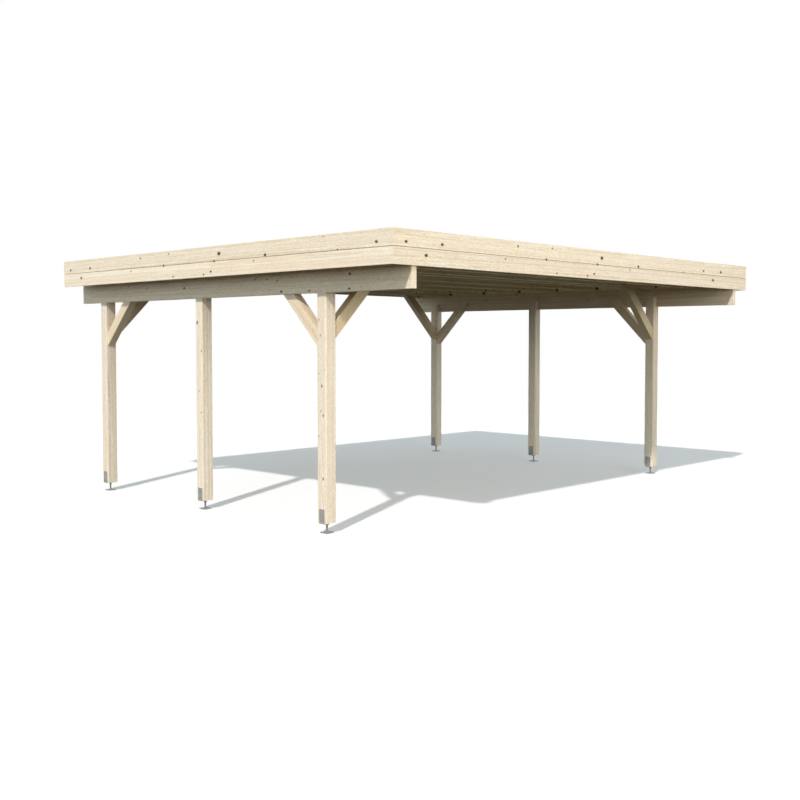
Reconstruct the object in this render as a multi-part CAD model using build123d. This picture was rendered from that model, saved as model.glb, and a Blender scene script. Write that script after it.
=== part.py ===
"""A free-standing double carport in planed timber, with a flat roof on two rows of posts.

Millimetres, +Z up. The entrance faces -Y, X runs across it, and the origin is on the ground
under the middle of the roof.
"""

from build123d import *
import os
from math import sqrt

# Post plan, and the roof's reach past the posts' centre lines
post_row_spacing = 5680
post_pitch = 1887
side_overhang = 300
front_overhang = 1133
back_overhang = 460

# Posts, with a rebated head that holds the beam on its outer side
post_size = 120
post_edge_radius = 9
post_head_height = 122

# Adjustable galvanised feet
foot_height = 93
ground_plate_size = 96
ground_plate_thick = 8
ground_plate_corner_radius = 6
ground_hole_spacing = 66
ground_hole_diameter = 12
rod_diameter = 20
nut_width = 30
nut_height = 16
shoe_width = 70
shoe_side_height = 130
shoe_thick = 5
shoe_bend_radius = 6

# Beams, with the eased edges that the rafters have too
beam_underside = 2176
beam_thick = 60
beam_depth = 236
timber_edge_radius = 3

# Knee braces, as steep as they are level
brace_width = 112
brace_thick = 88
brace_edge_radius = 6
beam_brace_reach = 495
cross_brace_reach = 660

# Rafters
rafter_thick = 45
rafter_depth = 195
rafter_bays = 8

# Deck and covering
deck_thick = 20
covering_thick = 4
covering_upstand = 16

# Fascia, two boards high on the front and the sides
fascia_thick = 19
fascia_board_height = 145
fascia_joint_gap = 3
fascia_drop = 48

# How far cuts run past a face, and how nearly an edge follows a direction to count as running along it
cut_overrun = 10
parallel_share = 0.999

# Places that follow from the sizes above
row_x = post_row_spacing / 2
roof_width = post_row_spacing + 2 * side_overhang
roof_depth = front_overhang + 2 * post_pitch + back_overhang
front_y = -roof_depth / 2
back_y = roof_depth / 2
front_post_y = front_y + front_overhang
post_places = {
    "front": front_post_y,
    "middle": front_post_y + post_pitch,
    "back": front_post_y + 2 * post_pitch,
}
sides = {"left": -1, "right": 1}
beam_top = beam_underside + beam_depth
rafter_top = beam_top + rafter_depth
deck_top = rafter_top + deck_thick
fascia_underside = beam_top - fascia_drop
fascia_inner_x = roof_width / 2 - fascia_thick
fascia_inner_y = front_y + fascia_thick
brace_cut = brace_width * sqrt(2)
on_base = (Align.CENTER, Align.CENTER, Align.MIN)


def block(x_range, y_range, z_range):
    """A box between two limits on each axis, in either order."""
    lows = [min(limits) for limits in (x_range, y_range, z_range)]
    highs = [max(limits) for limits in (x_range, y_range, z_range)]
    size = [high - low for low, high in zip(lows, highs)]
    corner = Align.MIN, Align.MIN, Align.MIN
    return Pos(*lows) * Box(*size, align=corner)


def prism(plane, points, thickness):
    """A plate of the given outline, centred on its plane."""
    outline = make_face(plane * Polyline(*points, close=True))
    return extrude(outline, amount=thickness / 2, both=True)


def long_edges(solid, direction):
    """The edges that run in one direction."""
    return [edge for edge in solid.edges() if abs(edge.tangent_at(0).dot(direction)) > parallel_share]


def make_post(side, y):
    """A post whose head is cut back on the outer side to seat the beam."""
    x = side * row_x
    top = beam_underside + post_head_height
    half = post_size / 2
    post = block((x - half, x + half), (y - half, y + half), (foot_height, top))
    post = fillet(long_edges(post, Vector(0, 0, 1)), post_edge_radius)
    outer_face = x + side * half
    rebate = block(
        (outer_face + side * cut_overrun, outer_face - side * beam_thick),
        (y - half - cut_overrun, y + half + cut_overrun),
        (beam_underside, top + cut_overrun),
    )
    return post - rebate


def make_foot(side, y):
    """A foot: a bent strap shoe and its nut on a rod, welded to a drilled plate on the ground."""
    half = post_size / 2
    strap = half + shoe_thick
    seat_low = foot_height - shoe_thick
    strap_top = foot_height + shoe_side_height
    profile = [
        (-strap, seat_low),
        (strap, seat_low),
        (strap, strap_top),
        (half, strap_top),
        (half, foot_height),
        (-half, foot_height),
        (-half, strap_top),
        (-strap, strap_top),
    ]
    shoe = prism(Plane.XZ, profile, shoe_width)
    bends = long_edges(shoe, Vector(0, 1, 0))
    shoe = fillet(ShapeList(bends).group_by(Axis.Z)[0], shoe_bend_radius)
    plate = Box(ground_plate_size, ground_plate_size, ground_plate_thick, align=on_base)
    plate = fillet(long_edges(plate, Vector(0, 0, 1)), ground_plate_corner_radius)
    hole = Cylinder(ground_hole_diameter / 2, ground_plate_thick + cut_overrun, align=on_base)
    plate -= [place * hole for place in GridLocations(ground_hole_spacing, ground_hole_spacing, 2, 2)]
    rod = Cylinder(rod_diameter / 2, seat_low - ground_plate_thick, align=on_base)
    hexagon = RegularPolygon(nut_width / 2, 6, major_radius=False)
    nut = Pos(0, 0, seat_low - nut_height) * extrude(hexagon, amount=nut_height)
    return Pos(side * row_x, y, 0) * (shoe + nut + Pos(0, 0, ground_plate_thick) * rod + plate)


def make_beam(side):
    """A beam along one row, flush with the posts' outer faces."""
    outer_face = side * (row_x + post_size / 2)
    inner_face = outer_face - side * beam_thick
    beam = block((outer_face, inner_face), (fascia_inner_y, back_y), (beam_underside, beam_top))
    return fillet(long_edges(beam, Vector(0, 1, 0)), timber_edge_radius)


def make_beam_brace(side, y, toward):
    """A brace from a post to the beam, with its head lapped on the beam's inner side."""
    start = y + toward * post_size / 2
    foot_z = beam_underside - beam_brace_reach
    head_z = beam_underside + post_head_height
    run = head_z - foot_z
    points = [
        (start, foot_z),
        (start + toward * run, head_z),
        (start + toward * (run - brace_cut), head_z),
        (start, foot_z + brace_cut),
    ]
    x = side * row_x
    brace = prism(Plane.YZ.offset(x), points, brace_thick)
    slope = Vector(0, toward, 1).normalized()
    brace = fillet(long_edges(brace, slope), brace_edge_radius)
    beam_inner_face = x + side * (post_size / 2 - beam_thick)
    rebate = block(
        (beam_inner_face, x + side * post_size),
        (start, start + toward * (run + cut_overrun)),
        (beam_underside, head_z + cut_overrun),
    )
    return brace - rebate


def make_cross_brace(side, y):
    """A brace from a post inwards to the tie rafter over it."""
    start = side * (row_x - post_size / 2)
    foot_z = beam_top - cross_brace_reach
    points = [
        (start, foot_z),
        (start - side * cross_brace_reach, beam_top),
        (start - side * (cross_brace_reach - brace_cut), beam_top),
        (start, foot_z + brace_cut),
    ]
    brace = prism(Plane.XZ.offset(-y), points, brace_thick)
    slope = Vector(-side, 0, 1).normalized()
    return fillet(long_edges(brace, slope), brace_edge_radius)


def make_rafter(y):
    """A rafter across both beams, between the side fascias."""
    half = rafter_thick / 2
    rafter = block((-fascia_inner_x, fascia_inner_x), (y - half, y + half), (beam_top, rafter_top))
    return fillet(long_edges(rafter, Vector(1, 0, 0)), timber_edge_radius)


def rafter_places():
    """Even places from the front fascia to the roof's back edge, each set beside a tie that it meets."""
    first = fascia_inner_y + rafter_thick / 2
    last = back_y - rafter_thick / 2
    step = (last - first) / rafter_bays
    places = [first + step * number for number in range(rafter_bays + 1)]
    for tie in (post_places["front"], post_places["back"]):
        places = [clear_of(y, tie) for y in places]
    return places


def clear_of(y, tie):
    """The nearest place to y where a rafter doesn't stand in the tie rafter."""
    if abs(y - tie) >= rafter_thick:
        return y
    return tie + (rafter_thick if y > tie else -rafter_thick)


def make_deck():
    """The boarded deck on the rafters."""
    return block((-fascia_inner_x, fascia_inner_x), (fascia_inner_y, back_y), (rafter_top, deck_top))


def make_covering():
    """A sheet over the deck, turned up against the fascia on three sides."""
    high = deck_top + covering_thick + covering_upstand
    tray = block((-fascia_inner_x, fascia_inner_x), (fascia_inner_y, back_y), (deck_top, high))
    inner_x = fascia_inner_x - covering_thick
    hollow = block(
        (-inner_x, inner_x),
        (fascia_inner_y + covering_thick, back_y + cut_overrun),
        (deck_top + covering_thick, high + cut_overrun),
    )
    return tray - hollow


def make_front_fascia(low):
    """A front board, mitred at both corners."""
    half = roof_width / 2
    points = [
        (-half, front_y),
        (half, front_y),
        (fascia_inner_x, fascia_inner_y),
        (-fascia_inner_x, fascia_inner_y),
    ]
    outline = make_face(Plane.XY.offset(low) * Polyline(*points, close=True))
    return extrude(outline, amount=fascia_board_height)


def make_side_fascia(side, low):
    """A side board, mitred at the front and square at the back."""
    outer_x = side * roof_width / 2
    inner_x = side * fascia_inner_x
    points = [(outer_x, front_y), (outer_x, back_y), (inner_x, back_y), (inner_x, fascia_inner_y)]
    outline = make_face(Plane.XY.offset(low) * Polyline(*points, close=True))
    return extrude(outline, amount=fascia_board_height, dir=(0, 0, 1))


def make_carport():
    """Every piece by its name."""
    pieces = {}
    fascia_levels = {
        "lower": fascia_underside,
        "upper": fascia_underside + fascia_board_height + fascia_joint_gap,
    }
    for side_name, side in sides.items():
        for place_name, y in post_places.items():
            pieces[f"{side_name}_{place_name}_post"] = make_post(side, y)
            pieces[f"{side_name}_{place_name}_foot"] = make_foot(side, y)
        pieces[f"{side_name}_beam"] = make_beam(side)
        for place_name, toward in (("front", 1), ("back", -1)):
            y = post_places[place_name]
            pieces[f"{side_name}_{place_name}_beam_brace"] = make_beam_brace(side, y, toward)
            pieces[f"{side_name}_{place_name}_cross_brace"] = make_cross_brace(side, y)
        for level_name, low in fascia_levels.items():
            pieces[f"{side_name}_{level_name}_fascia"] = make_side_fascia(side, low)
    for level_name, low in fascia_levels.items():
        pieces[f"front_{level_name}_fascia"] = make_front_fascia(low)
    for number, y in enumerate(rafter_places(), start=1):
        pieces[f"rafter_{number}"] = make_rafter(y)
    for place_name in ("front", "back"):
        pieces[f"{place_name}_tie_rafter"] = make_rafter(post_places[place_name])
    pieces["roof_deck"] = make_deck()
    pieces["roof_covering"] = make_covering()
    return pieces


os.makedirs("parts", exist_ok=True)
for name, piece in make_carport().items():
    export_step(piece, f"parts/{name}.step")
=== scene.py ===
"""The looks of a free-standing double carport in planed softwood.

Metres, +Z up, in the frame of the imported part: the entrance faces -Y and X runs across it.
"""

import math
import random
from dataclasses import dataclass

import bmesh
import bpy
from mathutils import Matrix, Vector


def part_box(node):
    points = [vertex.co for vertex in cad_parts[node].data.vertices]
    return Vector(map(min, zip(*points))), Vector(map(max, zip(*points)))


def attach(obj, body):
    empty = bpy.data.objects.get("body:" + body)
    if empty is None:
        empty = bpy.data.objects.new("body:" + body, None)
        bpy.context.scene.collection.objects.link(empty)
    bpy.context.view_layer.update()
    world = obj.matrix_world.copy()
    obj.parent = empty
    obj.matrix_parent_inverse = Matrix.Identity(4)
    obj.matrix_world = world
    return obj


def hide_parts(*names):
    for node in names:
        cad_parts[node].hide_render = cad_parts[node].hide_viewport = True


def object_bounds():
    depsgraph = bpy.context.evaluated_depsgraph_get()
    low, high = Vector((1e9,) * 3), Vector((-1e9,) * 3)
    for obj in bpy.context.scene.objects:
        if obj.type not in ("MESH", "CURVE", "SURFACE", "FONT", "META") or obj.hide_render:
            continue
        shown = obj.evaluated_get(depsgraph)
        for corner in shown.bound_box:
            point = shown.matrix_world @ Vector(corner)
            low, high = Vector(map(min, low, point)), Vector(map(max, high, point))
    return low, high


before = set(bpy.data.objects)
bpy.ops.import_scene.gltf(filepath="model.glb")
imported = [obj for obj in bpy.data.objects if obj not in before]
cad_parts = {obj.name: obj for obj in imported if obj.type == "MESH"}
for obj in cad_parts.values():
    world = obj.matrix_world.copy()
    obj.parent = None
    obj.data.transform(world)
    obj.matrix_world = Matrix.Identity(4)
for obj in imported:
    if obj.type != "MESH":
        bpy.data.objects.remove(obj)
cad_low, cad_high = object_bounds()
X, Y, Z = Vector((1, 0, 0)), Vector((0, 1, 0)), Vector((0, 0, 1))

# Fascia: the boards' thickness, and the height of the joint between them
lower_low, lower_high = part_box("front_lower_fascia")
upper_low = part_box("front_upper_fascia")[0]
fascia_thick = lower_high.y - lower_low.y
fascia_joint = (lower_high.z + upper_low.z) / 2

# Edges and round forms
arris = 0.003
board_arris = 0.001
arris_steps = 3
edge_steps = 2
sharp_angle = math.radians(35)
arc_steps = 5
round_sides = 24
hexagon_sides = 6

# Tones of the timbers
pale_tone = (1.0, 1.0, 1.0)
post_tone = (1.02, 1.03, 1.06)
# The deck's and rafters' tone is less blue: a painted warm tint for the shade under the roof
roof_painted_warm_shade_tone = (1.01, 1.045, 0.90)
beam_brace_tone = (0.97, 0.925, 0.86)
# The cross braces' tone is darker and warmer: painted shade for braces that sit in the shadow under the
# beams, with warm bounce light
cross_brace_painted_shade_tone = (0.915, 0.87, 0.735)
shade_range = (0.975, 1.025)

# Colours of the wood; a knot has one at its heart and one at its rim
early_wood = (0.85, 0.726, 0.565)
late_wood = (0.70, 0.55, 0.37)
flushed_wood = (0.82, 0.635, 0.44)
dull_wood = (0.68, 0.55, 0.375)
bright_wood = (0.915, 0.815, 0.675)
fleck_wood = (0.56, 0.42, 0.26)
stained_wood = (0.62, 0.42, 0.23)
dead_knot = ((0.09, 0.04, 0.019), (0.022, 0.012, 0.007))
live_knot = ((0.42, 0.25, 0.12), (0.22, 0.115, 0.05))
# Painted shade along a board joint, standing in for the gap's shadow: its colour, how far it reaches and
# how dark it gets
joint_painted_shade = (0.11, 0.07, 0.04)
joint_shade_reach = 0.003
joint_shade_share = 0.8

# Grain: rings about a pith and the waves that bend them, with X along the timber
ring_spacing = 0.0038
pith_aside = 0.05
pith_depth = (0.035, 0.08)
deck_pith = (0.02, 0.05)
grain_span = 40
board_span = 30
grain_stretch = (0.05, 1.0, 1.0)
fibre_stretch = (0.012, 1.0, 1.0)
wave_scale = 5.0
wave_reach = 0.04
ripple_scale = 45.0
ripple_reach = 0.005

# Noises of the grain, in cells to a metre across it; flecks and speckle first state it along the grain
year_scale = 75.0
cloud_scale = 9.0
band_scale = 60.0
fibre_scale = 750.0
fleck_scale = (15.0, 290.0, 290.0)
speckle_scale = (45.0, 220.0, 220.0)

# What the grain's values turn into: from and to, and the results at both
late_rise = (0.25, 0.88, 0.0, 1.0)
late_fall = (0.90, 1.0, 1.0, 0.0)
late_by_year = (0.35, 0.7, 0.85, 0.25)
flush_by_cloud = (0.42, 0.66, 0.0, 0.6)
dull_by_year = (0.34, 0.52, 0.47, 0.0)
bright_by_year = (0.48, 0.64, 0.0, 0.56)
flush_by_band = (0.30, 0.50, 0.45, 0.0)
bright_by_band = (0.52, 0.70, 0.0, 0.5)
dark_by_fleck = (0.58, 0.74, 0.0, 0.5)
shade_by_fibre = (0.2, 0.8, 0.93, 1.06)
shade_by_speckle = (0.3, 0.7, 0.905, 1.095)
rough_by_fibre = (0.2, 0.8, 0.52, 0.68)
late_height = 0.6
fibre_height = 0.5
grain_bump = {"Strength": 0.35, "Distance": 0.0005}

# Knots: the sizes of scattered ones, how long placed ones are along the grain, and what the distance
# from a knot, in knot radii, turns into
knot_cell = 0.19
knot_radius_least = 0.003
knot_radius_spread = 0.009
knot_stretch = 1.45
knot_far = 99.0
knot_outline_scale = 85.0
knot_outline = (0.3, 0.7, 0.85, 1.15)
swell_by_knot = (0.0, 2.6, 0.012, 0.0)
stain_by_knot = (1.0, 2.2, 0.4, 0.0)
rim_by_knot = (0.2, 0.6, 0.0, 1.0)
knot_edge = (0.9, 1.1, 1.0, 0.0)

# Knots on the fascia's two boards: distance from the left end as seen from outside, height on
# the board and radius across the grain
upper_knots = (
    (0.155, 0.040, 0.011),
    (0.595, 0.043, 0.0115),
    (1.640, 0.097, 0.0085),
    (2.078, 0.000, 0.010),
    (2.175, 0.112, 0.007),
    (2.952, 0.000, 0.010),
    (3.030, 0.067, 0.016),
    (3.735, 0.016, 0.012),
    (4.530, 0.128, 0.005),
    (4.711, 0.004, 0.007),
    (5.180, 0.040, 0.011),
    (5.610, 0.043, 0.0145),
)
lower_knots = (
    (0.395, 0.088, 0.0125),
    (1.455, 0.118, 0.0065),
    (2.078, 0.145, 0.0085),
    (2.250, 0.027, 0.008),
    (2.775, 0.025, 0.008),
    (2.895, 0.050, 0.0095),
    (2.952, 0.145, 0.0085),
    (3.565, 0.120, 0.0065),
    (5.415, 0.088, 0.015),
)

# Knots on a beam's outer face: place along the roof, height on the beam and radius
beam_knots = (
    (-2.067, 0.036, 0.0045),
    (-1.925, 0.152, 0.010),
    (-1.916, 0.024, 0.008),
    (-1.386, 0.024, 0.007),
    (-0.990, 0.027, 0.010),
    (-0.930, 0.132, 0.006),
    (-0.781, 0.147, 0.007),
    (-0.598, 0.155, 0.007),
    (0.595, 0.112, 0.010),
    (1.300, 0.133, 0.007),
    (1.678, 0.168, 0.006),
)

# Knots on a rafter's front face, the first of them a painted shadow of the dark pocket just above the
# right beam: distance from its right end, height on the rafter and radius
rafter_knots_and_pocket_shade = (
    # This one, the same on every rafter, is a painted shadow of the pocket over the right beam, drawn as
    # a dark knot
    (0.226, 0.034, 0.020),
    (0.390, 0.040, 0.006),
    (0.820, 0.042, 0.007),
    (1.000, 0.027, 0.0075),
)

# Knots on a post's outer face, by its place in the row: place across it, height and radius
post_knots = {
    "front": (
        (0.034, 1.450, 0.0045),
        (-0.042, 1.486, 0.004),
        (-0.002, 1.338, 0.009),
        (0.014, 1.112, 0.005),
        (-0.022, 1.072, 0.008),
        (0.042, 0.884, 0.0055),
        (-0.018, 0.499, 0.0085),
        (0.034, 1.933, 0.006),
        (0.014, 1.795, 0.0065),
    ),
    "middle": (
        (0.030, 1.927, 0.012),
        (-0.038, 1.637, 0.006),
        (0.006, 1.225, 0.005),
        (-0.030, 1.007, 0.005),
    ),
    "back": (),
}

# Deck boards, with a bevelled joint on the underside
deck_board_width = 0.121
deck_joint_gap = 0.0008
deck_joint_bevel = 0.004

# Roof sheet, laid in lapped strips
sheet_thick = 0.004
sheet_strip_width = 0.92
sheet_lap = 0.09
sheet_lap_rise = 0.003
sheet_row_step = 0.22
sheet_ripple = 0.0007
sheet_seam = 0.012

# Looks of the roof sheet: colours, noises in cells to a metre, and what these turn into
sheet_dark = (0.034, 0.035, 0.037)
sheet_speck = (0.105, 0.106, 0.108)
sheet_streak = (0.105, 0.102, 0.095)
sheet_dust = (0.15, 0.145, 0.13)
sheet_seam_black = (0.014, 0.014, 0.015)
sheet_wander_scale = 9.0
sheet_speck_scale = 420.0
sheet_streak_scale = 7.0
sheet_streak_stretch = (1.0, 0.25, 1.0)
sheet_dust_scale = 2.4
sheet_grit_scale = 900.0
wander_by_noise = (0.3, 0.7, -sheet_seam / 2, sheet_seam / 2)
seam_by_distance = (sheet_seam / 3, sheet_seam, 1.0, 0.0)
shade_by_strip = (0.0, 1.0, 0.82, 1.16)
streak_by_noise = (0.38, 0.68, 0.0, 0.3)
dust_by_noise = (0.50, 0.72, 0.0, 0.25)
rough_by_grit = (0.3, 0.7, 0.78, 0.95)
seam_rough = (0.42, 0.42, 0.42)
sheet_bump = {"Strength": 0.5, "Distance": 0.001}

# Feet
shoe_width = 0.070
shoe_thick = 0.005
shoe_bend = 0.006
foot_edge = 0.0008
plate_thick = 0.008
plate_hole_spacing = 0.066
plate_hole_radius = 0.006
plate_corner = 0.006
rod_radius = 0.010
thread_pitch = 0.003
thread_depth = 0.0011
thread_sides = 18
nut_radius = 0.0173
nut_height = 0.016
nut_chamfer_share = 0.06
weld_size = 0.004

# Screws through the shoes
shoe_screw_heights = (0.032, 0.098)
screw_head_radius = 0.0075
screw_head_height = 0.0055
screw_chamfer_share = 0.12
screw_core_radius = 0.001
washer_radius = 0.012
washer_thick = 0.002

# Looks of the steel: colours, noises in cells to a metre, and what these turn into
zinc_dark = (0.265, 0.255, 0.25)
zinc_pale = (0.345, 0.33, 0.325)
zinc_bloom = (0.41, 0.395, 0.385)
zinc_warp_scale = 90.0
zinc_warp_reach = 0.006
zinc_crystal_scale = 130.0
zinc_cloud_scale = 14.0
zinc_grain_scale = 700.0
bloom_by_cloud = (0.4, 0.7, 0.0, 0.35)
zinc_rough_by_cloud = (0.3, 0.7, 0.36, 0.48)
zinc_rough_by_crystal = 0.16
zinc_metallic = 0.3
zinc_bump = {"Strength": 0.2, "Distance": 0.0003}

# Camera: the photo's lens, place and aim
sensor_millimetres = 36.0
lens_pixels = 1015.9
image_pixels = 800
axis_pixel_y = 382.8
camera_place = Vector((-8.977, -8.400, 1.7675))
camera_heading = math.radians(46.0)
camera_tilt = math.radians(2.51)

# Light
sun_from = Vector((-0.69, -0.33, 0.645))
sun_distance = 30
sun_strength = 2.72
sun_colour = (1.0, 0.985, 0.985)
sun_softness = math.radians(1.6)
fill_place = Vector((-2.0, -13.0, 4.2))
fill_aim = Vector((0, 0, 1.2))
fill_size = 9.0
fill_height = 3.6
fill_strength = 458
fill_colour = (1.0, 0.92, 0.77)
horizon_light = (1.56, 1.80, 1.88)
zenith_light = (0.20, 0.23, 0.25)
zenith_from = 0.72

# Floor: what it shows, what it reflects on the object, and where it fades into white
white = (1.0, 1.0, 1.0)
floor_pale = (0.92, 0.905, 0.89)
floor_lift = 0.13
floor_bounce = (0.028, 0.024, 0.010)
floor_radius = 700.0
floor_sides = 96
floor_fade = (7.5, 15.0)
floor_gap = 0.0003


class Graph:
    """The nodes of one material or world, added and linked in short calls."""

    def __init__(self, owner):
        owner.use_nodes = True
        self.owner = owner
        self.nodes = owner.node_tree.nodes
        self.links = owner.node_tree.links
        self.nodes.clear()

    def add(self, kind, inputs, **settings):
        """A node; each input is a socket to link or a value to set."""
        node = self.nodes.new("ShaderNode" + kind)
        for key, value in settings.items():
            setattr(node, key, value)
        for key, value in inputs.items():
            if isinstance(value, bpy.types.NodeSocket):
                self.links.new(value, node.inputs[key])
            else:
                node.inputs[key].default_value = value
        return node

    def object_place(self):
        return self.add("TexCoord", {}).outputs["Object"]

    def math(self, operation, *values):
        return self.add("Math", dict(enumerate(values)), operation=operation).outputs[0]

    def vector(self, operation, *values):
        node = self.add("VectorMath", dict(enumerate(values)), operation=operation)
        return node.outputs["Value" if operation == "LENGTH" else "Vector"]

    def scaled(self, vector, factor):
        node = self.add("VectorMath", {0: vector, "Scale": factor}, operation="SCALE")
        return node.outputs["Vector"]

    def noise(self, place, scale, detail=2.0):
        node = self.add("TexNoise", {"Vector": place, "Scale": scale, "Detail": detail})
        return node.outputs[0]

    def noise_line(self, value, scale):
        """A noise along one value."""
        inputs = {"W": value, "Scale": scale, "Detail": 3.0, "Roughness": 0.6}
        return self.add("TexNoise", inputs, noise_dimensions="1D").outputs[0]

    def noise_vector(self, place, scale):
        """A vector of three noises, each about zero."""
        node = self.add("TexNoise", {"Vector": place, "Scale": scale, "Detail": 1.0})
        return self.vector("SUBTRACT", node.outputs["Color"], (0.5, 0.5, 0.5))

    def cells(self, place, scale):
        """Uneven cells: a random value for each, and the distance from its middle."""
        node = self.add("TexVoronoi", {"Vector": place, "Scale": scale, "Randomness": 1.0})
        value = self.add("SeparateColor", {0: node.outputs["Color"]}).outputs[0]
        return value, node.outputs["Distance"]

    def spread(self, value, low, high, to_low, to_high):
        """The value mapped smoothly from one range to another, and held at its ends."""
        ranges = {"From Min": low, "From Max": high, "To Min": to_low, "To Max": to_high}
        node = self.add("MapRange", {"Value": value, **ranges}, interpolation_type="SMOOTHSTEP")
        return node.outputs[0]

    def mix(self, share, first, second, blend="MIX"):
        sockets = {0: share, 6: first, 7: second}
        return self.add("Mix", sockets, data_type="RGBA", blend_type=blend).outputs[2]

    def grey(self, value):
        """One value as a colour."""
        return self.add("CombineColor", {0: value, 1: value, 2: value}).outputs[0]

    def bump(self, height, strength):
        return self.add("Bump", {"Height": height, **strength}).outputs[0]

    def finish(self, **inputs):
        """The surface, from the inputs of the main shader."""
        named = {key.replace("_", " "): value for key, value in inputs.items()}
        shader = self.add("BsdfPrincipled", named)
        self.add("OutputMaterial", {"Surface": shader.outputs[0]})
        return self.owner


@dataclass(frozen=True)
class Knots:
    """A timber's knots: points and radii of the placed ones, whether more are scattered, and colours."""

    placed: list | tuple = ()
    scattered: bool = True
    colours: tuple = dead_knot


def rgba(colour, tone=pale_tone):
    """A colour times a tone, with alpha."""
    return (*[c * t for c, t in zip(colour, tone)], 1.0)


def grain_space(graph, along, centre, shift_name):
    """The place on the object, and the same about the centre with X along the grain."""
    turn = along.rotation_difference(X)
    place = graph.object_place()
    if shift_name:
        shift = graph.add("Attribute", {}, attribute_name=shift_name).outputs["Vector"]
        place = graph.vector("ADD", place, shift)
    turned = {"Vector": place, "Location": -(turn @ centre), "Rotation": turn.to_euler()}
    return place, graph.add("Mapping", turned).outputs[0]


def knot_field(graph, place, moved, along, knots):
    """The distance to the nearest knot, in knot radii; placed knots are longer along the grain."""
    field = knot_far
    if knots.scattered:
        chance, distance = graph.cells(moved, 1 / knot_cell)
        radius = graph.math("MULTIPLY_ADD", chance, knot_radius_spread, knot_radius_least)
        field = graph.math("DIVIDE", graph.math("MULTIPLY", distance, knot_cell), radius)
    squeeze = Vector([1 - (1 - 1 / knot_stretch) * abs(share) for share in along])
    for point, radius in knots.placed:
        away = graph.vector("MULTIPLY", graph.vector("SUBTRACT", place, point), squeeze)
        radii = graph.math("DIVIDE", graph.vector("LENGTH", away), radius)
        field = graph.math("MINIMUM", field, radii)
    uneven = graph.spread(graph.noise(place, knot_outline_scale, detail=1.0), *knot_outline)
    return graph.math("MULTIPLY", field, uneven)


def ring_fields(graph, local, stretched, pith, from_knot):
    """The distance from the pith, bent by waves and knots, and the share of late wood there."""
    wave = graph.scaled(graph.noise_vector(stretched, wave_scale), wave_reach)
    ripple = graph.scaled(graph.noise_vector(stretched, ripple_scale), ripple_reach)
    bent = graph.vector("ADD", graph.vector("ADD", local, wave), ripple)
    from_pith = graph.vector("SUBTRACT", bent, (0.0, *pith))
    section = graph.vector("MULTIPLY", from_pith, fibre_stretch)
    swell = graph.spread(from_knot, *swell_by_knot)
    reach = graph.math("ADD", graph.vector("LENGTH", section), swell)
    ring = graph.math("FRACT", graph.math("DIVIDE", reach, ring_spacing))
    late = graph.math("MULTIPLY", graph.spread(ring, *late_rise), graph.spread(ring, *late_fall))
    return reach, late


def with_joint_shade(graph, wood, place, joint):
    """The wood's colour, with painted shade next to a board joint, where the gap's shadow falls."""
    height = graph.add("SeparateXYZ", {0: place}).outputs["Z"]
    away = graph.math("ABSOLUTE", graph.math("SUBTRACT", height, joint))
    share = graph.spread(away, joint_shade_reach / 2, joint_shade_reach, joint_shade_share, 0.0)
    return graph.mix(share, wood, rgba(joint_painted_shade))


def softwood(name, along, centre, pith, rng, tone, knots, shift_name=None, joint=None):
    """Planed spruce: rings about a pith, soft bands, fibres and knots, with painted shade at a joint's
    height.
    """
    graph = Graph(bpy.data.materials.new(name))
    place, local = grain_space(graph, along, centre, shift_name)
    offset = Vector([rng.uniform(-grain_span, grain_span) for _ in range(3)])
    moved = graph.vector("ADD", local, offset)
    stretched = graph.vector("MULTIPLY", moved, grain_stretch)
    from_knot = knot_field(graph, place, moved, along, knots)
    reach, late = ring_fields(graph, local, stretched, pith, from_knot)

    fibre = graph.noise(graph.vector("MULTIPLY", moved, fibre_stretch), fibre_scale)
    band = graph.noise(stretched, band_scale, detail=4.0)
    cloud = graph.noise(stretched, cloud_scale, detail=3.0)
    years = graph.noise_line(graph.math("ADD", reach, offset.x), year_scale)
    fleck = graph.noise(graph.vector("MULTIPLY", moved, fleck_scale), 1.0, detail=1.0)
    speckle = graph.noise(graph.vector("MULTIPLY", moved, speckle_scale), 1.0, detail=1.0)

    late_share = graph.math("MULTIPLY", late, graph.spread(years, *late_by_year))
    wood = graph.mix(late_share, rgba(early_wood, tone), rgba(late_wood, tone))
    layers = (
        (cloud, flush_by_cloud, flushed_wood),
        (years, dull_by_year, dull_wood),
        (years, bright_by_year, bright_wood),
        (band, flush_by_band, flushed_wood),
        (band, bright_by_band, bright_wood),
        (fleck, dark_by_fleck, fleck_wood),
    )
    for noise, shares, colour in layers:
        wood = graph.mix(graph.spread(noise, *shares), wood, rgba(colour, tone))
    for noise, shades in ((fibre, shade_by_fibre), (speckle, shade_by_speckle)):
        wood = graph.mix(1.0, wood, graph.grey(graph.spread(noise, *shades)), "MULTIPLY")
    wood = graph.mix(graph.spread(from_knot, *stain_by_knot), wood, rgba(stained_wood, tone))
    heart, rim = knots.colours
    knot = graph.mix(graph.spread(from_knot, *rim_by_knot), rgba(heart), rgba(rim))
    wood = graph.mix(graph.spread(from_knot, *knot_edge), wood, knot)
    # Painted shade along the fascia boards' joint
    if joint:
        wood = with_joint_shade(graph, wood, place, joint)

    rough = graph.spread(fibre, *rough_by_fibre)
    fibres = graph.math("MULTIPLY", fibre, fibre_height)
    height = graph.math("MULTIPLY_ADD", late, late_height, fibres)
    return graph.finish(Base_Color=wood, Roughness=rough, Normal=graph.bump(height, grain_bump))


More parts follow.
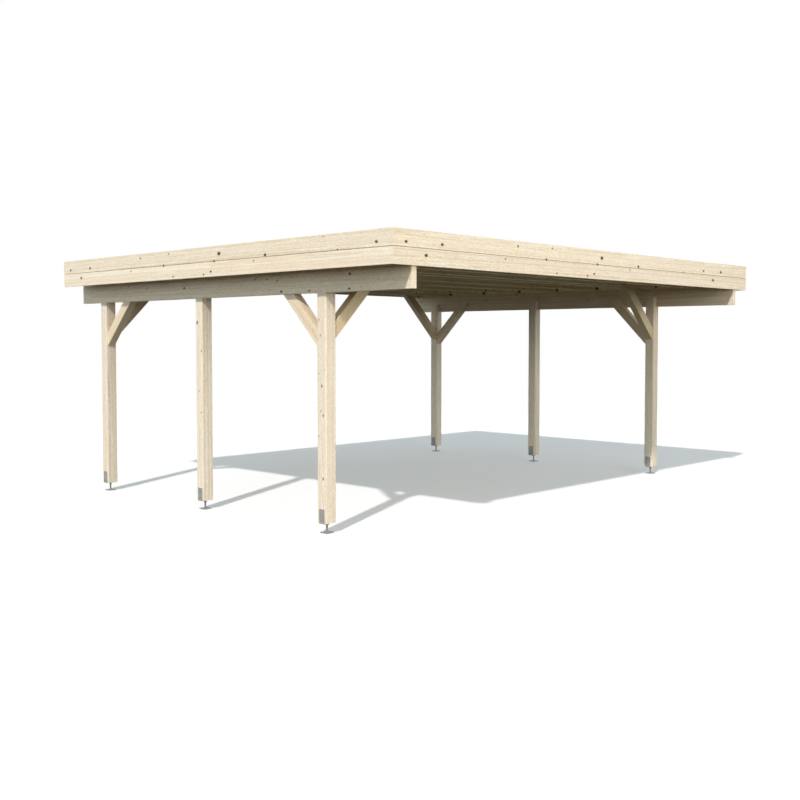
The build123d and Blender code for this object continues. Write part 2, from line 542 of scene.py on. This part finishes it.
def galvanised_steel():
    """Hot-dip zinc gone dull: grey with faint crystal patches."""
    graph = Graph(bpy.data.materials.new("galvanised_steel"))
    place = graph.object_place()
    warp = graph.scaled(graph.noise_vector(place, zinc_warp_scale), zinc_warp_reach)
    patch, _ = graph.cells(graph.vector("ADD", place, warp), zinc_crystal_scale)
    cloud = graph.noise(place, zinc_cloud_scale, detail=4.0)
    colour = graph.mix(patch, rgba(zinc_dark), rgba(zinc_pale))
    colour = graph.mix(graph.spread(cloud, *bloom_by_cloud), colour, rgba(zinc_bloom))
    cloud_rough = graph.spread(cloud, *zinc_rough_by_cloud)
    rough = graph.math("MULTIPLY_ADD", patch, zinc_rough_by_crystal, cloud_rough)
    grain = graph.bump(graph.noise(place, zinc_grain_scale), zinc_bump)
    return graph.finish(Base_Color=colour, Metallic=zinc_metallic, Roughness=rough, Normal=grain)


def roof_sheet(strips_start, strip_step):
    """Dark mineral roofing sheet: each strip has its own shade and a black seam at its lap."""
    graph = Graph(bpy.data.materials.new("roof_sheet"))
    place = graph.object_place()
    across = graph.add("SeparateXYZ", {0: place}).outputs["X"]
    strips = graph.math("DIVIDE", graph.math("SUBTRACT", across, strips_start), strip_step)
    number = graph.math("FLOOR", strips)
    shade = graph.add("TexWhiteNoise", {"W": number}, noise_dimensions="1D").outputs["Value"]
    wander = graph.spread(graph.noise(place, sheet_wander_scale, detail=3.0), *wander_by_noise)
    lap_edge = graph.math("MULTIPLY_ADD", graph.math("FRACT", strips), strip_step, wander)
    off_seam = graph.math("ABSOLUTE", graph.math("SUBTRACT", lap_edge, strip_step - sheet_lap))
    seam = graph.spread(off_seam, *seam_by_distance)

    speck, _ = graph.cells(place, sheet_speck_scale)
    drawn = graph.vector("MULTIPLY", place, sheet_streak_stretch)
    streaks = graph.noise(drawn, sheet_streak_scale, detail=6.0)
    dust = graph.noise(place, sheet_dust_scale, detail=8.0)
    colour = graph.mix(speck, rgba(sheet_dark), rgba(sheet_speck))
    colour = graph.mix(1.0, colour, graph.grey(graph.spread(shade, *shade_by_strip)), "MULTIPLY")
    colour = graph.mix(graph.spread(streaks, *streak_by_noise), colour, rgba(sheet_streak))
    colour = graph.mix(graph.spread(dust, *dust_by_noise), colour, rgba(sheet_dust))
    colour = graph.mix(seam, colour, rgba(sheet_seam_black))

    grit = graph.noise(place, sheet_grit_scale)
    rough = graph.mix(seam, graph.grey(graph.spread(grit, *rough_by_grit)), rgba(seam_rough))
    return graph.finish(Base_Color=colour, Roughness=rough, Normal=graph.bump(grit, sheet_bump))


def new_piece(name, vertices, faces, material, slot, node=None, edge=None, steps=edge_steps):
    """A mesh that rides on the part, with eased edges and even shading."""
    mesh = bpy.data.meshes.new(name)
    mesh.from_pydata([tuple(v) for v in vertices], [], faces)
    mesh.materials.append(material)
    for polygon in mesh.polygons:
        polygon.use_smooth = True
    mesh.set_sharp_from_angle(angle=sharp_angle)
    piece = bpy.data.objects.new(name, mesh)
    bpy.context.scene.collection.objects.link(piece)
    if edge:
        bevel = piece.modifiers.new("eased_edges", "BEVEL")
        bevel.width = edge
        bevel.segments = steps
        bevel.limit_method = "ANGLE"
        bevel.angle_limit = sharp_angle
    even = piece.modifiers.new("even_shading", "WEIGHTED_NORMAL")
    even.keep_sharp = not edge
    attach(piece, "root")
    if node:
        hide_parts(node)
    return piece


def prism(outline, offset):
    """Vertices and faces of an outline carried along an offset.

    The outline runs anticlockwise as seen from the offset's tip.
    """
    count = len(outline)
    vertices = [Vector(p) for p in outline] + [Vector(p) + offset for p in outline]
    faces = [tuple(reversed(range(count))), tuple(range(count, 2 * count))]
    for k in range(count):
        following = (k + 1) % count
        faces.append((k, following, count + following, count + k))
    return vertices, faces


def joined(parts):
    """Several lots of vertices and faces as one."""
    vertices, faces = [], []
    for part_vertices, part_faces in parts:
        start = len(vertices)
        vertices += part_vertices
        faces += [tuple(start + k for k in face) for face in part_faces]
    return vertices, faces


def on_circle(radius, turn, height):
    """A point at a share of a full turn about Z."""
    angle = 2 * math.pi * turn
    return Vector((radius * math.cos(angle), radius * math.sin(angle), height))


def lathe(profile, sides, place, axis):
    """A closed turned form; its profile lists radius and height, from the top's middle down."""
    turn = Z.rotation_difference(axis)
    vertices, faces = [], []
    for radius, height in profile:
        vertices += [place + turn @ on_circle(radius, k / sides, height) for k in range(sides)]
    for row in range(len(profile) - 1):
        for k in range(sides):
            a, b = row * sides + k, row * sides + (k + 1) % sides
            faces.append((b, a, a + sides, b + sides))
    faces.append(tuple(range(sides)))
    last = (len(profile) - 1) * sides
    faces.append(tuple(reversed(range(last, last + sides))))
    return vertices, faces


def arc(centre, radius, start, end, steps=arc_steps):
    """Points along an arc in a plane, between two angles in degrees."""
    angles = [math.radians(start + (end - start) * k / steps) for k in range(steps + 1)]
    return [(centre[0] + radius * math.cos(a), centre[1] + radius * math.sin(a)) for a in angles]


def centre_of(node):
    low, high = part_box(node)
    return (low + high) / 2


def piece_rng(name):
    """A generator of its own for each piece, so that one piece's draws don't change another's."""
    return random.Random(f"carport {name}")


def timber(name, along, tone, knots, joint=None):
    """A softwood of its own for one piece, with rings about a pith beside its middle."""
    rng = piece_rng(name)
    aside = rng.uniform(-pith_aside, pith_aside)
    pith = (aside, rng.choice((-1, 1)) * rng.uniform(*pith_depth))
    shade = rng.uniform(*shade_range)
    shaded = [shade * t for t in tone]
    return softwood(name, along, centre_of(name), pith, rng, shaded, knots, joint=joint)


def dress_cad(node, along, tone, knots):
    """Gives a CAD timber its wood."""
    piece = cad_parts[node]
    piece.data.materials.clear()
    piece.data.materials.append(timber(node, along, tone, knots))


def block(node, along, tone, knots):
    """A planed timber that fills its node's box, with eased edges."""
    low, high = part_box(node)
    plan = [(low.x, low.y), (high.x, low.y), (high.x, high.y), (low.x, high.y)]
    vertices, faces = prism([(x, y, low.z) for x, y in plan], Z * (high.z - low.z))
    wood = timber(node, along, tone, knots)
    new_piece(f"{node}_timber", vertices, faces, wood, "timber", node, arris, arris_steps)


def fascia(node):
    """A fascia board with its mitred plan, and knots from its left end as seen from outside."""
    low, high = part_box(node)
    thick = fascia_thick
    if node.startswith("front"):
        plan = [(low.x, low.y), (high.x, low.y), (high.x - thick, high.y), (low.x + thick, high.y)]
        along, left_end = X, low
    elif node.startswith("left"):
        plan = [(low.x, low.y), (high.x, low.y + thick), (high.x, high.y), (low.x, high.y)]
        along, left_end = -Y, Vector((low.x, high.y, low.z))
    else:
        plan = [(low.x, low.y + thick), (high.x, low.y), (high.x, high.y), (low.x, high.y)]
        along, left_end = Y, Vector((high.x, low.y, low.z))
    places = upper_knots if "upper" in node else lower_knots
    placed = [(left_end + along * reach + Z * height, radius) for reach, height, radius in places]
    vertices, faces = prism([(x, y, low.z) for x, y in plan], Z * (high.z - low.z))
    wood = timber(node, along, pale_tone, Knots(placed, scattered=False), fascia_joint)
    new_piece(f"{node}_board", vertices, faces, wood, "timber", node, board_arris, arris_steps)


def deck_boards():
    """Boards along the roof, side by side, each with its own grain."""
    low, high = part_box("roof_deck")
    count = round((high.x - low.x) / deck_board_width)
    step = (high.x - low.x) / count
    bevel = deck_joint_bevel
    rng = piece_rng("roof_deck")
    parts, shifts = [], []
    for number in range(count):
        left = low.x + step * number + deck_joint_gap / 2
        right = left + step - deck_joint_gap
        section = [
            (left + bevel, low.z),
            (right - bevel, low.z),
            (right, low.z + bevel),
            (right, high.z),
            (left, high.z),
            (left, low.z + bevel),
        ]
        parts.append(prism([(x, low.y, z) for x, z in section], Y * (high.y - low.y)))
        shift = Vector((-(left + right) / 2, rng.uniform(-board_span, board_span), 0))
        shifts += [shift] * (2 * len(section))
    vertices, faces = joined(parts)
    shift_name = "board_shift"
    centre = Vector((0, 0, high.z))
    wood = softwood("roof_boards", Y, centre, deck_pith, rng, roof_painted_warm_shade_tone, Knots(), shift_name)
    piece = new_piece("roof_boards", vertices, faces, wood, "timber", "roof_deck")
    attribute = piece.data.attributes.new(shift_name, "FLOAT_VECTOR", "POINT")
    for k, shift in enumerate(shifts):
        attribute.data[k].vector = shift


def sheet_section(low, high, count, step):
    """The roof sheet's top line across the roof: a turn-up at each side, and lapped strips between."""
    inner = high.x - sheet_thick
    flat = low.z + sheet_thick
    points = [(-high.x, high.z), (-inner, high.z), (-inner, flat)]
    for number in range(1, count):
        x = -inner + step * number
        points += [
            (x - sheet_lap, flat),
            (x - sheet_lap + sheet_lap_rise, flat + sheet_lap_rise),
            (x - sheet_lap / 2, flat + sheet_lap_rise),
            (x, flat + sheet_lap_rise / 2),
            (x + sheet_lap / 2, flat),
        ]
    return points + [(inner, flat), (inner, high.z), (high.x, high.z)]


def rippled_sheet(section, low, high, rng):
    """A section carried along the roof in rows, a little uneven between its lowest and highest points."""
    rows = math.ceil((high.y - low.y) / sheet_row_step)
    count = len(section)
    vertices, faces = [], []
    for row in range(rows + 1):
        y = low.y + (high.y - low.y) * row / rows
        for x, z in section:
            ripple = rng.uniform(0, sheet_ripple) if low.z < z < high.z else 0
            vertices.append(Vector((x, y, z + ripple)))
    for row in range(rows):
        for k in range(count):
            a, b = row * count + k, row * count + (k + 1) % count
            faces.append((a, b, b + count, a + count))
    faces += [tuple(reversed(range(count))), tuple(range(rows * count, (rows + 1) * count))]
    return vertices, faces


def roof_covering():
    """The roof sheet, turned up behind the fascia on three sides."""
    low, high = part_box("roof_covering")
    inner = high.x - sheet_thick
    strip_count = round(2 * inner / sheet_strip_width)
    strip_step = 2 * inner / strip_count
    top = sheet_section(low, high, strip_count, strip_step)
    section = [(high.x, low.z), *reversed(top), (-high.x, low.z)]
    sheet = rippled_sheet(section, low, high, piece_rng("roof_covering"))
    back = low.y + sheet_thick
    start = low.z + sheet_thick / 2
    front = [(-inner, low.y), (inner, low.y), (inner, back), (-inner, back)]
    turn_up = prism([(x, y, start) for x, y in front], Z * (high.z - start))
    vertices, faces = joined([sheet, turn_up])
    material = roof_sheet(-inner, strip_step)
    new_piece("roof_strips", vertices, faces, material, "roof_sheet", "roof_covering")


def shoe_mesh(middle, half, seat, top):
    """A strap bent up on both sides of the post."""
    outer = half + shoe_thick
    under = seat - shoe_thick
    section = [(-half, seat), (-half, top), (-outer, top)]
    section += arc((-outer + shoe_bend, under + shoe_bend), shoe_bend, 180, 270)
    section += arc((outer - shoe_bend, under + shoe_bend), shoe_bend, 270, 360)
    section += [(outer, top), (half, top), (half, seat)]
    start = middle.y - shoe_width / 2
    return prism([(middle.x + x, start, z) for x, z in section], Y * shoe_width)


def plate_mesh(middle, size):
    """A square ground plate with rounded corners and four holes."""
    inset = size / 2 - plate_corner
    corners = ((inset, inset, 0), (-inset, inset, 90), (-inset, -inset, 180), (inset, -inset, 270))
    loops = [[p for x, y, turn in corners for p in arc((x, y), plate_corner, turn, turn + 90)]]
    hole = plate_hole_spacing / 2
    for x in (-hole, hole):
        for y in (-hole, hole):
            loops.append(arc((x, y), plate_hole_radius, 360, 0, round_sides)[:-1])
    form = bmesh.new()
    edges = []
    for loop in loops:
        ring = [form.verts.new((middle.x + x, middle.y + y, 0)) for x, y in loop]
        edges += [form.edges.new((ring[k - 1], ring[k])) for k in range(len(ring))]
    bmesh.ops.triangle_fill(form, edges=edges, use_beauty=True, normal=-Z)
    raised = bmesh.ops.extrude_face_region(form, geom=form.faces[:])
    risen = [item for item in raised["geom"] if isinstance(item, bmesh.types.BMVert)]
    bmesh.ops.translate(form, verts=risen, vec=Z * plate_thick)
    bmesh.ops.recalc_face_normals(form, faces=form.faces[:])
    form.verts.index_update()
    vertices = [v.co.copy() for v in form.verts]
    faces = [tuple(v.index for v in face.verts) for face in form.faces]
    form.free()
    return vertices, faces


def rod_mesh(middle, low, high):
    """A rod with a rolled thread."""
    crest, root = rod_radius, rod_radius - thread_depth
    profile = (root, crest, crest, root)
    rows = math.ceil((high - low) / thread_pitch) * len(profile)
    vertices, faces = [], []
    for row in range(-len(profile), rows + 1):
        radius = profile[row % len(profile)]
        for k in range(thread_sides):
            turn = k / thread_sides
            z = low + thread_pitch * (row / len(profile) + turn)
            place = on_circle(radius, turn, min(max(z, low), high))
            vertices.append(Vector((middle.x, middle.y, 0)) + place)
    per_turn = len(profile) * thread_sides
    for row in range(rows + len(profile)):
        for k in range(thread_sides - 1):
            a = row * thread_sides + k
            faces.append((a, a + 1, a + 1 + thread_sides, a + thread_sides))
        if row * thread_sides + per_turn + thread_sides < len(vertices):
            a = row * thread_sides + thread_sides - 1
            b = row * thread_sides + per_turn
            faces.append((a, b, b + thread_sides, a + thread_sides))
    return vertices, faces


def nut_mesh(middle, under):
    """A chamfered nut below the shoe, and the weld at the rod's lower end."""
    chamfer = nut_radius * nut_chamfer_share
    nut = [
        (rod_radius, 0),
        (nut_radius - chamfer, 0),
        (nut_radius, -chamfer),
        (nut_radius, chamfer - nut_height),
        (nut_radius - chamfer, -nut_height),
        (rod_radius, -nut_height),
    ]
    weld = [
        (rod_radius, weld_size),
        (rod_radius + weld_size / 2, weld_size / 2),
        (rod_radius + weld_size, 0),
    ]
    below_shoe = Vector((middle.x, middle.y, under))
    on_plate = Vector((middle.x, middle.y, plate_thick))
    return joined([lathe(nut, hexagon_sides, below_shoe, Z), lathe(weld, round_sides, on_plate, Z)])


def disc_profile(radius, low, high, chamfer):
    """A disc with a chamfered upper edge."""
    return [(screw_core_radius, high), (radius - chamfer, high), (radius, high - chamfer), (radius, low)]


def coach_screw(place, axis):
    """A hexagon head on a washer."""
    chamfer = screw_head_radius * screw_chamfer_share
    top = washer_thick + screw_head_height
    washer = disc_profile(washer_radius, 0, washer_thick, chamfer)
    head = disc_profile(screw_head_radius, washer_thick, top, chamfer)
    return joined([lathe(washer, round_sides, place, axis), lathe(head, hexagon_sides, place, axis)])


def foot(place_name, steel):
    """A post's foot: shoe, plate, threaded rod and nut, with screws into the post."""
    node = f"{place_name}_foot"
    low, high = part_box(node)
    post_low, post_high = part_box(f"{place_name}_post")
    middle = (low + high) / 2
    seat = post_low.z
    half = (post_high.x - post_low.x) / 2
    under = seat - shoe_thick
    slot = "galvanised_steel"
    parts = (
        ("shoe", shoe_mesh(middle, half, seat, high.z), foot_edge),
        ("plate", plate_mesh(middle, high.y - low.y), foot_edge),
        ("rod", rod_mesh(middle, plate_thick, under), None),
        ("nut", nut_mesh(middle, under), None),
    )
    for name, mesh, edge in parts:
        new_piece(f"{place_name}_{name}", *mesh, steel, slot, node, edge)

    screws = []
    for side in (-1, 1):
        for height in shoe_screw_heights:
            face = Vector((middle.x + side * (half + shoe_thick), middle.y, seat + height))
            screws.append(coach_screw(face, X * side))
    new_piece(f"{place_name}_shoe_screws", *joined(screws), steel, slot)


def brace_direction(node):
    """The direction in which a brace rises."""
    toward_middle = -1 if centre_of(node).x > 0 else 1
    if node.endswith("cross_brace"):
        return Vector((toward_middle, 0, 1)).normalized()
    return Vector((0, 1 if "front" in node else -1, 1)).normalized()


def face_knots(node):
    """The knots of a beam's or post's outer face, or of a rafter's front face, where one is a painted
    shadow above the right beam.
    """
    low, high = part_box(node)
    outer_x = low.x if node.startswith("left") else high.x
    if node.endswith("_beam"):
        return [(Vector((outer_x, y, low.z + up)), radius) for y, up, radius in beam_knots]
    if node.endswith("_post"):
        middle = centre_of(node).y
        places = post_knots[node.split("_")[1]]
        return [(Vector((outer_x, middle + y, up)), radius) for y, up, radius in places]
    return [(Vector((high.x - x, low.y, low.z + up)), radius) for x, up, radius in rafter_knots_and_pocket_shade]


def dress_timbers():
    """Wood for every timber but the deck."""
    for node in sorted(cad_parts):
        if node.endswith("_post"):
            placed = face_knots(node)
            colours = live_knot if "_front_" in node else dead_knot
            dress_cad(node, Z, post_tone, Knots(placed, not placed, colours))
        elif node.endswith("_beam_brace"):
            dress_cad(node, brace_direction(node), beam_brace_tone, Knots())
        elif node.endswith("_cross_brace"):
            dress_cad(node, brace_direction(node), cross_brace_painted_shade_tone, Knots())
        elif node.endswith("_beam"):
            block(node, Y, pale_tone, Knots(face_knots(node)))
        elif "rafter" in node:
            block(node, X, roof_painted_warm_shade_tone, Knots(face_knots(node)))
        elif node.endswith("_fascia"):
            fascia(node)


def add_camera():
    data = bpy.data.cameras.new("camera")
    data.sensor_width = sensor_millimetres
    data.lens = lens_pixels / image_pixels * sensor_millimetres
    data.shift_y = (axis_pixel_y - image_pixels / 2) / image_pixels
    data.clip_end = 2 * floor_radius
    camera = bpy.data.objects.new("camera", data)
    level = math.cos(camera_tilt)
    ahead = (math.sin(camera_heading) * level, math.cos(camera_heading) * level)
    aim = Vector((*ahead, -math.sin(camera_tilt)))
    camera.location = camera_place
    camera.rotation_mode = "QUATERNION"
    camera.rotation_quaternion = aim.to_track_quat("-Z", "Y")
    bpy.context.scene.collection.objects.link(camera)
    bpy.context.scene.camera = camera


def seen_share(graph):
    """One for rays that show the surroundings, zero for those that light the object."""
    rays = graph.add("LightPath", {}).outputs
    share = rays["Is Camera Ray"]
    for name in ("Is Glossy Ray", "Is Transmission Ray"):
        share = graph.math("MAXIMUM", share, rays[name])
    return share


def add_world():
    """White surroundings, which light the object from a pale horizon up to a dim zenith."""
    world = bpy.data.worlds.new("studio")
    bpy.context.scene.world = world
    graph = Graph(world)
    direction = graph.add("TexCoord", {}).outputs["Generated"]
    height = graph.add("SeparateXYZ", {0: direction}).outputs["Z"]
    sky = graph.add("ValToRGB", {0: height})
    horizon, zenith = sky.color_ramp.elements
    horizon.color = rgba(horizon_light)
    zenith.color = rgba(zenith_light)
    zenith.position = zenith_from
    lit = graph.add("Background", {"Color": sky.outputs[0]})
    shown = graph.add("Background", {"Color": rgba(white)})
    choice = graph.add("MixShader", {0: seen_share(graph), 1: lit.outputs[0], 2: shown.outputs[0]})
    graph.add("OutputWorld", {"Surface": choice.outputs[0]})


def add_floor():
    """A pale floor that keeps the shadow near the object and fades into the white surroundings."""
    material = bpy.data.materials.new("floor")
    graph = Graph(material)
    far = graph.spread(graph.vector("LENGTH", graph.object_place()), *floor_fade, 0.0, 1.0)
    pale = graph.add("BsdfDiffuse", {"Color": rgba(floor_pale)})
    glow = graph.add("Emission", {"Color": rgba(white), "Strength": 1.0})
    lift = graph.add("Emission", {"Color": rgba(white), "Strength": floor_lift})
    lifted = graph.add("AddShader", {0: pale.outputs[0], 1: lift.outputs[0]})
    shown = graph.add("MixShader", {0: far, 1: lifted.outputs[0], 2: glow.outputs[0]})
    bounce = graph.add("BsdfDiffuse", {"Color": rgba(floor_bounce)})
    choice = graph.add("MixShader", {0: seen_share(graph), 1: bounce.outputs[0], 2: shown.outputs[0]})
    graph.add("OutputMaterial", {"Surface": choice.outputs[0]})
    form = bmesh.new()
    bmesh.ops.create_circle(form, cap_ends=True, segments=floor_sides, radius=floor_radius)
    mesh = bpy.data.meshes.new("floor")
    form.to_mesh(mesh)
    form.free()
    mesh.materials.append(material)
    floor = bpy.data.objects.new("floor", mesh)
    floor.location = Vector((0, 0, cad_low.z - floor_gap))
    bpy.context.scene.collection.objects.link(floor)


def add_lamp(name, kind, place, aim, **settings):
    data = bpy.data.lights.new(name, kind)
    for key, value in settings.items():
        setattr(data, key, value)
    lamp = bpy.data.objects.new(name, data)
    lamp.location = place
    lamp.rotation_mode = "QUATERNION"
    lamp.rotation_quaternion = (aim - place).to_track_quat("-Z", "Y")
    bpy.context.scene.collection.objects.link(lamp)


def add_lights():
    """A low sun from the left, and a broad fill from the front."""
    sun = {"energy": sun_strength, "angle": sun_softness, "color": sun_colour}
    add_lamp("sun", "SUN", sun_from * sun_distance, Vector(), **sun)
    fill = {"energy": fill_strength, "color": fill_colour, "shape": "RECTANGLE"}
    add_lamp("fill", "AREA", fill_place, fill_aim, **fill, size=fill_size, size_y=fill_height)


steel = galvanised_steel()
dress_timbers()
deck_boards()
roof_covering()
for side in ("left", "right"):
    for row in ("front", "middle", "back"):
        foot(f"{side}_{row}", steel)

add_camera()
add_world()
add_floor()
add_lights()
bpy.context.scene.view_settings.view_transform = "Standard"
